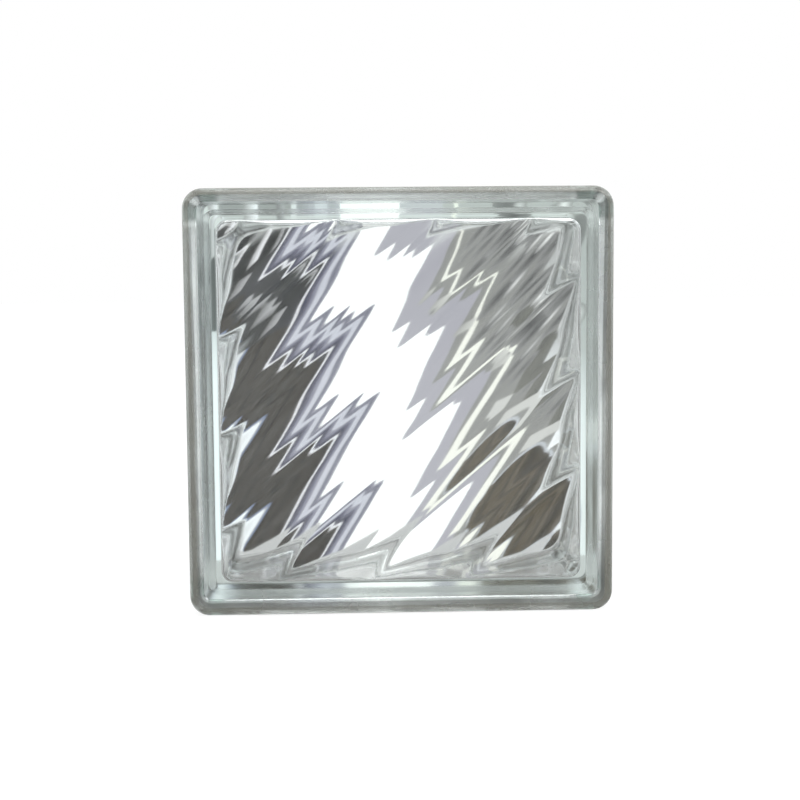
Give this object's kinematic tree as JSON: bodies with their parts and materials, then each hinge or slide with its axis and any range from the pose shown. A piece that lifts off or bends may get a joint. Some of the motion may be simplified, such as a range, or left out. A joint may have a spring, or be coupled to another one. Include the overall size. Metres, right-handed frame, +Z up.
{
  "type": "glass block",
  "caption": "Hollow pressed-glass building block with diagonal flutes inside both panes, a flange round each face and a mortar channel round its edges.",
  "frame": {"origin": "centre of the block's footprint on the floor, midway between the two faces, standing on its edge", "axes": "+Z up, +X along the width to the right of someone facing the front, -Y out of the front face"},
  "size_m": [0.19, 0.08, 0.19],
  "materials": {
    "glass": "clear pressed soda-lime glass with a faint green tint, smooth fire-polished faces"
  },
  "bodies": {
    "root": {"front_half": "glass", "back_half": "glass"}
  },
  "joints": []
}
